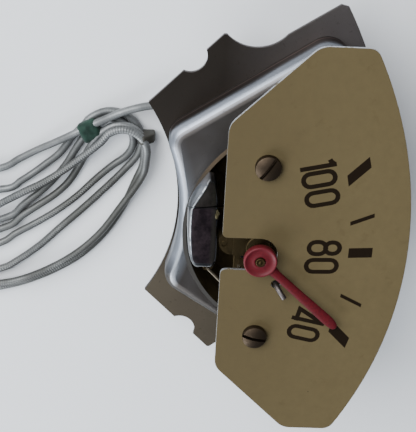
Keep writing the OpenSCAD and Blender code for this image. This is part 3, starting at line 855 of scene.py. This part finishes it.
def tape_mesh():
    """Cloth tape wound in three lapping turns round the bundle of strands."""
    along = math.radians(TAPE_ALONG)
    ahead = Vector((math.cos(along), math.sin(along), 0))
    across = Vector((-math.sin(along), math.cos(along), 0))
    bm = bmesh.new()
    rings = []
    for i in range(TAPE_STEPS + 1):
        t = i / TAPE_STEPS
        lap = 0.5 - 0.5 * math.cos(2 * math.pi * t * TAPE_TURNS)
        grow = TAPE_LAP * lap + TAPE_BULGE * math.sin(math.pi * t) - TAPE_ENDS * abs(2 * t - 1) ** 10
        half_w, half_h = TAPE_HALF_W + TAPE_WIDER * t + grow, TAPE_HALF_H + grow
        ring = []
        for k in range(TAPE_SIDES):
            a = 2 * math.pi * k / TAPE_SIDES
            c, s = math.cos(a), math.sin(a)
            wide = half_w * math.copysign(abs(c) ** 0.75, c)
            high = half_h * math.copysign(abs(s) ** 0.8, s) * (1 + 0.05 * math.cos(2 * a + 3 * t))
            where = ahead * (t - 0.5) * TAPE_L * (1 + 0.04 * math.sin(3 * a)) + across * wide
            place = mm(TAPE_AT[0] + where.x, TAPE_AT[1] + where.y, max(0.03, TAPE_Z + high))
            ring.append(bm.verts.new(place))
        rings.append(ring)
    skin(bm, rings)
    return finished("tape_wrap", bm, 50)


# The strap's side view as (Y, Z), its two sides and the round on its edges
STRAP_SIDE = [(-19.4, 0.05), (-19.55, 2.4), (-19.2, 3.7), (-18.5, 4), (-17.6, 3.2), (-16.8, 2.5),
              (-16.6, 1.4), (-16.8, 0.05)]
STRAP_X, STRAP_ROUND = (-8.8, -7.2), 0.28


def strap_mesh():
    """A stiff strap folded down over the outer strands, with soft corners."""
    bm = bmesh.new()
    side = [bm.verts.new(mm(STRAP_X[0], y, z)) for y, z in STRAP_SIDE]
    raised(bm, bm.faces.new(side), 0, STRAP_X[1])
    bmesh.ops.bevel(bm, geom=list(bm.edges), offset=STRAP_ROUND * MM, segments=3, affect="EDGES",
                    profile=0.5, clamp_overlap=True)
    return finished("strap", bm)


class GAUGE_OT_ties(bpy.types.Operator):
    """Dress the tape and the strap that hold the loops, and the bulb with its nut"""
    bl_idname = "gauge.ties"
    bl_label = "Ties and bulb"

    def execute(self, context):
        add("tape_wrap", tape_mesh(), "green_tape", "gauge", "tape_band")
        add("strap", strap_mesh(), "dark_clip", "gauge", "hank_clip")
        dress("sensing_bulb", 0.25, segments=3)
        dress("bulb_cone", 0.15)
        dress("union_nut", 0.25, segments=3)
        return {"FINISHED"}


class GAUGE_OT_bracket(bpy.types.Operator):
    """Dress the pressed bracket and the cup behind it"""
    bl_idname = "gauge.bracket"
    bl_label = "Bracket and cup"

    def execute(self, context):
        dress("bracket", 0.12, angle=40)
        dress("rear_cup", 0.12, angle=40)
        dress("inlet_ferrule", 0.08)
        dress("socket_block", 0.2)
        coat("socket_rivets")
        coat("root_stem")
        return {"FINISHED"}


class GAUGE_OT_movement(bpy.types.Operator):
    """Dress the plates, bushes, wheels and link of the movement"""
    bl_idname = "gauge.movement"
    bl_label = "Movement"

    def execute(self, context):
        for node, width in (("movement_plate", 0.12), ("bridge", 0.15), ("bridge_screw", 0.15),
                            ("plate_screws", 0.15), ("upper_bush", 0.15), ("lower_bush", 0.1),
                            ("bridge_pillars", 0.1), ("dial_posts", 0.12), ("hairspring_stud", 0.08),
                            ("sector_stud", 0.08), ("tip_tongue", 0.08)):
            dress(node, width)
        coat("arbor", "dark_bush")
        coat("link", "dull_wire")
        for node in ("pinion", "hairspring_collet", "hairspring", "sector", "sector_washer"):
            coat(node)
        return {"FINISHED"}


# Sections across the tube from its free end to the seam, and on over the brazed end:
# outer shoulder, outer and inner edge of the front, inner shoulder
TUBE_SECTIONS = [
    [(6.9, -9.2, 19.9), (6.1, -8.95, 21), (6.1, -7.15, 21), (6.8, -6.85, 19.9)],
    [(5.8, -10.25, 20.1), (5, -9.85, 21.4), (5.1, -6.35, 21.4), (5.7, -5.95, 20.4)],
    [(2.7, -10.75, 20.1), (2, -10.15, 21.4), (1.8, -6.35, 21.4), (2.3, -6, 20.4)],
    [(-0.8, -10.95, 20.1), (-1.5, -10.3, 21.4), (-1.7, -6.5, 21.4), (-1.2, -6.1, 20.4)],
    [(-3.95, -10.9, 20), (-4.3, -10.05, 21.35), (-4.75, -6.6, 21.35), (-4.5, -6.2, 20.4)],
]
CROWN_SECTIONS = [
    [(-4.05, -10.85, 20), (-4.45, -9.95, 21.35), (-4.9, -6.6, 21.35), (-4.65, -6.2, 20.4)],
    [(-5.9, -10.05, 19.4), (-5.95, -8.95, 21.2), (-6.05, -6.65, 21.2), (-6, -6.3, 20)],
    [(-7.15, -9.05, 18.4), (-7.05, -8.15, 20.6), (-6.95, -6.8, 20.6), (-7.05, -6.4, 19)],
    [(-8, -8.2, 17.1), (-7.7, -7.65, 19.6), (-7.45, -7.1, 19.6), (-7.9, -6.6, 17.7)],
    [(-8.4, -7.75, 16.2), (-8.2, -7.45, 17.6), (-8.1, -7.2, 17.6), (-8.3, -6.95, 16.4)],
]
TUBE_BACK = 16.05
# Of a section's ring of points, the ones on its front
FRONT_POINTS = (4, 5, 6)
# For each piece: its sections, the node it replaces, how far each end closes in, its dark-fronted rings
TUBE_PIECES = [("tube_shell", TUBE_SECTIONS, "bourdon_tube", 0.35, 0.02, (2, len(TUBE_SECTIONS) + 2)),
               ("tube_crown", CROWN_SECTIONS, "tube_cap", 0.02, 0.4, (0, 5))]
# How far the shoulders and the front bulge, the walls stand out, and the back lies inward
BULGE_OUTER, BULGE_INNER, BULGE_FRONT, WALL_OUT, BACK_IN = 0.12, 0.08, 0.04, 0.05, 0.5
BRAZE_AT, BRAZE_R, BRAZE_STRETCH = (-3.2, -6.5, 20.95), 0.5, (1.7, 1, 0.7)
# The braze swells and shrinks by this share, in waves along X and Y given in radians per millimetre
BRAZE_LUMP, BRAZE_WAVES = 0.25, (9, 7)


def tube_ring(section):
    """One section as a closed ring of points, its shoulders rounded."""
    outer, front_out, front_in, inner = (Vector(point) for point in section)
    low = (min(outer.z, inner.z) + TUBE_BACK) / 2
    return [(outer.x, outer.y + BACK_IN, TUBE_BACK), (outer.x, outer.y - WALL_OUT, low), outer,
            (outer + front_out) / 2 + Vector((0, -BULGE_OUTER, BULGE_OUTER)), front_out,
            (front_out + front_in) / 2 + Vector((0, 0, BULGE_FRONT)), front_in,
            (inner + front_in) / 2 + Vector((0, BULGE_INNER, BULGE_INNER)), inner,
            (inner.x, inner.y + WALL_OUT, low), (inner.x, inner.y - BACK_IN, TUBE_BACK)]


def drawn_in(ring, share):
    """A ring of points moved some way to its middle."""
    middle = sum((Vector(point) for point in ring), Vector()) / len(ring)
    return [Vector(point).lerp(middle, share) for point in ring]


class GAUGE_OT_bourdon_tube(bpy.types.Operator):
    """Dress the flattened pressure tube, its brazed end and the braze on it"""
    bl_idname = "gauge.bourdon_tube"
    bl_label = "Bourdon tube"

    def execute(self, context):
        for name, sections, node, first_in, last_in, fronts in TUBE_PIECES:
            rings = [tube_ring(section) for section in sections]
            rings = [drawn_in(rings[0], first_in)] + rings + [drawn_in(rings[-1], last_in)]
            bm = bmesh.new()
            loft(bm, rings, FRONT_POINTS, fronts)
            add(name, finished(name, bm, levels=2), "tube_alloy", "tube_body", node)
        bm = bmesh.new()
        bmesh.ops.create_icosphere(bm, subdivisions=3, radius=BRAZE_R * MM)
        for vert in bm.verts:
            x, y = (math.sin(at / MM * wave + phase)
                    for phase, (at, wave) in enumerate(zip(vert.co, BRAZE_WAVES)))
            lump = 1 + BRAZE_LUMP * x * y
            vert.co = Vector([c * by for c, by in zip(vert.co, BRAZE_STRETCH)]) * lump + mm(*BRAZE_AT)
        braze = add("braze_lump", finished("braze_lump", bm), "brazing", "tube_body")
        return {"FINISHED"}


# The dial's screws: place and slot's direction of each, and the sizes of head, slot and shank
SCREWS = [((-14.4, 0.2), 146.8), ((14.4, 0.2), 77.6)]
SCREW_R, SCREW_SIDE, SCREW_CROWN, SCREW_RIM = 1.9, 0.85, 0.42, 0.1
SLOT_W, SLOT_DEEP, SHANK_R, SHANK_L = 0.50, 0.9, 0.9, 5
CROWN_STEPS = (0, 0.25, 0.5, 0.72, 0.88, 0.97)


def screw_head(bm, centre, lean):
    """A domed head with a sawn slot, on its shank."""
    side_z = DIAL_Z + SCREW_SIDE
    profile = [(SCREW_R * t, side_z + SCREW_CROWN * (1 - t * t)) for t in CROWN_STEPS]
    profile += [(SCREW_R, side_z - SCREW_RIM), (SCREW_R, DIAL_Z), (SHANK_R, DIAL_Z - 0.02),
                (SHANK_R, DIAL_Z - SHANK_L), (0, DIAL_Z - SHANK_L)]
    part = bmesh.new()
    lathe(part, profile, 56)
    for side in (-1, 1):
        geom = part.verts[:] + part.edges[:] + part.faces[:]
        bmesh.ops.bisect_plane(part, geom=geom, plane_co=mm(0, side * SLOT_W / 2, 0), plane_no=(0, 1, 0))
    middles = [(face, face.calc_center_median()) for face in part.faces]
    floor = [face for face, at in middles
             if abs(at.y) < SLOT_W / 2 * MM and at.z > (side_z - SCREW_RIM) * MM]
    moved = bmesh.ops.extrude_face_region(part, geom=floor)
    bmesh.ops.delete(part, geom=floor, context="FACES_ONLY")
    for vert in [g for g in moved["geom"] if isinstance(g, bmesh.types.BMVert)]:
        vert.co.z = (side_z + SCREW_CROWN - SLOT_DEEP) * MM
    bmesh.ops.rotate(part, verts=part.verts, matrix=Matrix.Rotation(math.radians(lean), 3, "Z"))
    bmesh.ops.translate(part, verts=part.verts, vec=mm(*centre, 0))
    join(bm, from_bmesh("head", part))


class GAUGE_OT_dial(bpy.types.Operator):
    """Dress the dial plate, its screws and the stop pin"""
    bl_idname = "gauge.dial"
    bl_label = "Dial"

    def execute(self, context):
        dress("dial_plate", 0.14, segments=3)
        bm = bmesh.new()
        for centre, lean in SCREWS:
            screw_head(bm, centre, lean)
        add("screws", finished("screws", bm, 35), "dial_screw_metal", "gauge", "dial_screws")
        dress("stop_pin", 0.12)
        return {"FINISHED"}


# Direction and width of the marks at 100, 90, 80, 60 and 40, and the arcs that cut them off
SCALE_MARKS = [(136.7, 1.45), (113.8, 0.60), (93.5, 1.62), (63, 0.55), (44.3, 1.68)]
MARK_IN, MARK_OUT = 57.05, 60.62
# Sign, middle and slant of each figure of 100, 80 and 40
NUMERALS = [("1", (-14.93, 7.35), 13), ("0", (-12.79, 7.74), 13), ("0", (-9.79, 8.47), 13),
            ("8", (-1.53, 9.62), 2), ("0", (1.53, 9.48), 2),
            ("4", (10.86, 8.52), -12.5), ("0", (13.72, 7.87), -12.5)]
NUMERAL_HALF_W = 1.03
EIGHT_LOW, EIGHT_HIGH, EIGHT_NARROW = 1.28, 1.08, 0.93
# The print reaches from just under the paint to just over it, and crossing strokes differ by one level
PRINT_LOW, PRINT_HIGH, PRINT_LEVEL = DIAL_Z - 0.01, DIAL_Z + 0.015, 0.002
# Points on each round end of a figure, and the least cosine that a mitre is made for
ROUND_STEPS, MITRE_LEAST = 8, 0.4


def mark_outline(angle, width):
    """A mark that points at the pointer's axis and is cut off by two arcs of the round instrument."""
    way = Matrix.Rotation(math.radians(angle), 2) @ Vector((1, 0))
    across = way.orthogonal() * width / 2
    corners = []
    for radius, side in ((MARK_IN, -1), (MARK_OUT, -1), (MARK_OUT, 1), (MARK_IN, 1)):
        from_apex = across * side - Vector(APEX)
        along = from_apex.dot(way)
        reach = math.sqrt(along * along - from_apex.length_squared + radius * radius) - along
        corners.append(across * side + way * reach)
    return corners


def ring_line(middle_y, half_w, half_h):
    """A closed line with straight sides and round ends."""
    rise = half_h - half_w
    high_end = arc((0, middle_y + rise), half_w, 0, 180, 0, ROUND_STEPS)
    low_end = arc((0, middle_y - rise), half_w, 180, 360, 0, ROUND_STEPS)
    return [(x, y) for x, y, _ in high_end + low_end]


def numeral(sign, height, stroke):
    """Centre lines of a plain numeral, about its middle, and whether each is closed."""
    end = height / 2
    h = end - stroke / 2
    w = NUMERAL_HALF_W
    if sign == "0":
        return [(ring_line(0, w, h), True)]
    if sign == "8":
        return [(ring_line(EIGHT_LOW - h, w, EIGHT_LOW), True),
                (ring_line(h - EIGHT_HIGH, w * EIGHT_NARROW, EIGHT_HIGH), True)]
    if sign == "1":
        return [([(0.25, -end), (0.25, end)], False),
                ([(0.25, h + 0.1), (-0.28, h - 0.38), (-0.62, h - 0.52)], False)]
    if sign == "4":
        return [([(0.55, -end), (0.55, end)], False),
                ([(0.50, h + 0.15), (-1.24, 0.45 - h), (0.95, 0.45 - h)], False)]
    raise ValueError(sign)


def printed_mark(outline):
    """A mark with a closed outline, raised over the paint."""
    part = bmesh.new()
    corners = [part.verts.new(mm(*point, PRINT_LOW)) for point in outline]
    raised(part, part.faces.new(corners), 2, PRINT_HIGH)
    return from_bmesh("mark", part)


def printed_line(points, width, closed, level):
    """A stroke of even width along a line of points, mitred at its corners."""
    last = len(points) - 1
    pairs = []
    for i, point in enumerate(points):
        before, after = points[max(i - 1, 0)], points[min(i + 1, last)]
        if closed:
            before, after = points[i - 1], points[(i + 1) % len(points)]
        normals = [(b - a).orthogonal().normalized() for a, b in ((before, point), (point, after)) if a != b]
        middle = sum(normals, Vector((0, 0))).normalized()
        offset = middle * (width / 2 / max(MITRE_LEAST, middle.dot(normals[0])))
        pairs.append((point + offset, point - offset))
    part = bmesh.new()
    tops, lows = ([[part.verts.new(mm(*point, z)) for point in pair] for pair in pairs]
                  for z in (PRINT_HIGH + level * PRINT_LEVEL, PRINT_LOW))
    for i in range(-1 if closed else 0, last):
        k = i + 1
        part.faces.new((tops[i][0], tops[i][1], tops[k][1], tops[k][0]))
        part.faces.new((lows[i][0], tops[i][0], tops[k][0], lows[k][0]))
        part.faces.new((tops[i][1], lows[i][1], lows[k][1], tops[k][1]))
    bmesh.ops.recalc_face_normals(part, faces=part.faces)
    return from_bmesh("stroke", part)


class GAUGE_OT_scale(bpy.types.Operator):
    """Print the marks and numerals on the dial"""
    bl_idname = "gauge.scale"
    bl_label = "Scale"

    def execute(self, context):
        look = context.scene.gauge_dial
        stroke, height = look.stroke / MM, look.numeral_height / MM
        bm = bmesh.new()
        for angle, width in SCALE_MARKS:
            join(bm, printed_mark(mark_outline(angle, width)))
        for sign, centre, lean in NUMERALS:
            turn = Matrix.Rotation(math.radians(lean), 2)
            for level, (line, closed) in enumerate(numeral(sign, height, stroke)):
                points = [turn @ Vector(point) + Vector(centre) for point in line]
                join(bm, printed_line(points, stroke, closed, level))
        piece = add("scale_print", from_bmesh("scale_print", bm), "scale_ink", "gauge")
        return {"FINISHED"}


# The pointer's direction, and (radius, height) round its hub
POINTER_DEG = 47.3
HUB_PROFILE = [(0.76, 28.7), (0.76, 29.60), (0.84, 29.68), (1, 29.68), (1.15, 29.65), (1.3, 29.61),
               (1.6, 29.61), (1.85, 29.65), (2.05, 29.74), (2.2, 29.86), (2.32, 29.92), (2.42, 29.88),
               (2.5, 29.76), (2.5, 28.8), (2.42, 28.62)]
# Along the arm: distance from the axis, half width to the left and to the right, height of the crown
ARM_SECTIONS = [(2, 1.15, 1.15, 29.5), (2.6, 0.92, 0.92, 29.55), (3.2, 0.72, 0.72, 29.45),
                (5, 0.70, 0.70, 29.4), (9, 0.76, 0.76, 29.35), (13, 0.86, 0.86, 29.3),
                (15.4, 0.90, 0.90, 29.25), (16.4, 0.70, 0.78, 29.2), (17.15, 0.36, 0.56, 29.15)]
ARM_BASE, ARM_SHOULDER, ARM_ROUND = 28.72, 0.62, 0.06
BUSH_PROFILE = [(0, 30.02), (0.16, 30), (0.24, 29.95), (0.28, 29.91), (0.45, 29.91), (0.60, 29.94),
                (0.70, 29.88), (0.74, 29.6), (0.99, 29.55), (0.99, 28.3), (0.7, 28.25)]


class GAUGE_OT_pointer(bpy.types.Operator):
    """Dress the red pointer and its bush"""
    bl_idname = "gauge.pointer"
    bl_label = "Pointer"

    def execute(self, context):
        turn = Matrix.Rotation(math.radians(POINTER_DEG), 3, "Z")
        sections = []
        for reach, left, right, crown in ARM_SECTIONS:
            side, shoulder = (ARM_BASE + crown) / 2, crown - ARM_ROUND
            ring = [(left, ARM_BASE), (left, side), (left * ARM_SHOULDER, shoulder), (0, crown),
                    (-right * ARM_SHOULDER, shoulder), (-right, side), (-right, ARM_BASE)]
            sections.append([turn @ Vector((reach, y, z)) for y, z in ring])
        arm = bmesh.new()
        loft(arm, sections)
        bm = bmesh.new()
        lathe(bm, HUB_PROFILE, closed=True)
        join(bm, finished("arm", arm, levels=2))
        mesh = finished("pointer_painted", bm, 50)
        add("pointer_painted", mesh, "pointer_paint", "pointer_shaft", "pointer")
        bm = bmesh.new()
        lathe(bm, BUSH_PROFILE, 48)
        mesh = finished("bush_turned", bm, 40)
        bush = add("bush_turned", mesh, "dark_bush", "pointer_shaft", "pointer_bush")
        return {"FINISHED"}


# Half width of the floor in metres, and how far it lies under the part
FLOOR_HALF, FLOOR_DROP = 3, 0.2
WORLD_COLOUR, WORLD_STRENGTH = (0.80, 0.86, 1, 1), 0.20
# Name, place, size, power and colour
STUDIO_LIGHTS = [
    ("window", (300, -270, 200), 280, 2.6, (0.86, 0.93, 1)),
    ("sky", (-260, -260, 360), 460, 5.5, (0.92, 0.96, 1)),
]


class GAUGE_OT_stage(bpy.types.Operator):
    """Set the pale floor and the soft lights"""
    bl_idname = "gauge.stage"
    bl_label = "Stage"

    def execute(self, context):
        bm = bmesh.new()
        bmesh.ops.create_grid(bm, x_segments=1, y_segments=1, size=FLOOR_HALF)
        floor = bpy.data.objects.new("floor", from_bmesh("floor", bm))
        floor.location.z = -FLOOR_DROP * MM
        floor.data.materials.append(finishes()["floor"])
        context.scene.collection.objects.link(floor)
        world = bpy.data.worlds.new("studio")
        context.scene.world = world
        world.use_nodes = True
        background = world.node_tree.nodes["Background"]
        background.inputs["Color"].default_value = WORLD_COLOUR
        background.inputs["Strength"].default_value = WORLD_STRENGTH
        for name, place, size, power, colour in STUDIO_LIGHTS:
            data = bpy.data.lights.new(name, "AREA")
            data.size = size * MM
            data.energy = power
            data.color = colour
            lamp = bpy.data.objects.new(name, data)
            lamp.location = mm(*place)
            lamp.rotation_euler = (-lamp.location).to_track_quat("-Z", "Y").to_euler()
            context.scene.collection.objects.link(lamp)
        return {"FINISHED"}


class GAUGE_PT_panel(bpy.types.Panel):
    """Lists the gauge's pieces"""
    bl_idname = "GAUGE_PT_panel"
    bl_label = "Temperature gauge"
    bl_space_type = "VIEW_3D"
    bl_region_type = "UI"
    bl_category = "Gauge"

    def draw(self, context):
        for name, _ in GROUPS:
            group = getattr(context.scene, name)
            for key in group.bl_rna.properties.keys():
                if key not in ("rna_type", "name"):
                    self.layout.prop(group, key)
        for step in STEPS:
            self.layout.operator(step.bl_idname)


STEPS = (GAUGE_OT_camera, GAUGE_OT_ties, GAUGE_OT_capillary, GAUGE_OT_bracket, GAUGE_OT_movement,
         GAUGE_OT_bourdon_tube, GAUGE_OT_dial, GAUGE_OT_scale, GAUGE_OT_pointer, GAUGE_OT_stage)
GROUPS = (("gauge_dial", GaugeDialLook), ("gauge_metal", GaugeMetalLook),
          ("gauge_capillary", GaugeCapillaryLook))


def register():
    for name, group in GROUPS:
        bpy.utils.register_class(group)
        setattr(bpy.types.Scene, name, bpy.props.PointerProperty(type=group))
    for step in STEPS:
        bpy.utils.register_class(step)
    bpy.utils.register_class(GAUGE_PT_panel)


def unregister():
    bpy.utils.unregister_class(GAUGE_PT_panel)
    for step in reversed(STEPS):
        bpy.utils.unregister_class(step)
    for name, group in reversed(GROUPS):
        delattr(bpy.types.Scene, name)
        bpy.utils.unregister_class(group)


def main():
    register()
    for step in STEPS:
        group, name = step.bl_idname.split(".")
        getattr(getattr(bpy.ops, group), name)()


if __name__ == "__main__":
    main()
